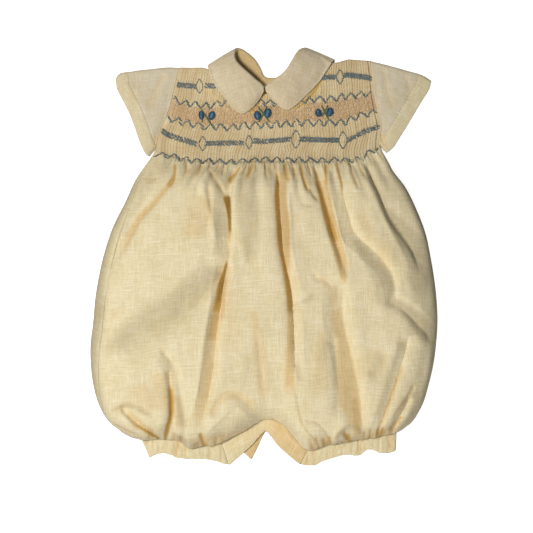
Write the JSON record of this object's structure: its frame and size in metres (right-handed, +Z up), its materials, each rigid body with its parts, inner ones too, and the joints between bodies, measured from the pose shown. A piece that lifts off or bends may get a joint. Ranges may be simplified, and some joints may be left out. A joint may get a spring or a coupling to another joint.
{
  "type": "baby romper",
  "caption": "Baby romper in plain slubby linen with a smocked bodice, flat round collar, short sleeves and a full bubble body gathered onto leg bands, laid flat, front up",
  "frame": {"origin": "middle of the outline on the surface that the romper lies on, under the middle of its bubble body", "axes": "+X to the right of the garment as seen from above with the collar up, +Y from the legs to the collar, +Z up from the surface, out of the front"},
  "size_m": [0.3618, 0.4362, 0.0364],
  "materials": {
    "linen": "plain slubby linen",
    "smocked_linen": "plain slubby linen, pleated and smocked at the top"
  },
  "bodies": {
    "root": {"front_panel": "smocked_linen", "back_body": "linen", "back_bodice_left": "linen", "back_bodice_right": "linen", "sleeve_left": "linen", "sleeve_right": "linen", "collar_left": "linen", "collar_right": "linen", "leg_band_left": "linen", "leg_band_right": "linen", "crotch_band_front": "linen", "crotch_band_back": "linen"}
  },
  "joints": []
}
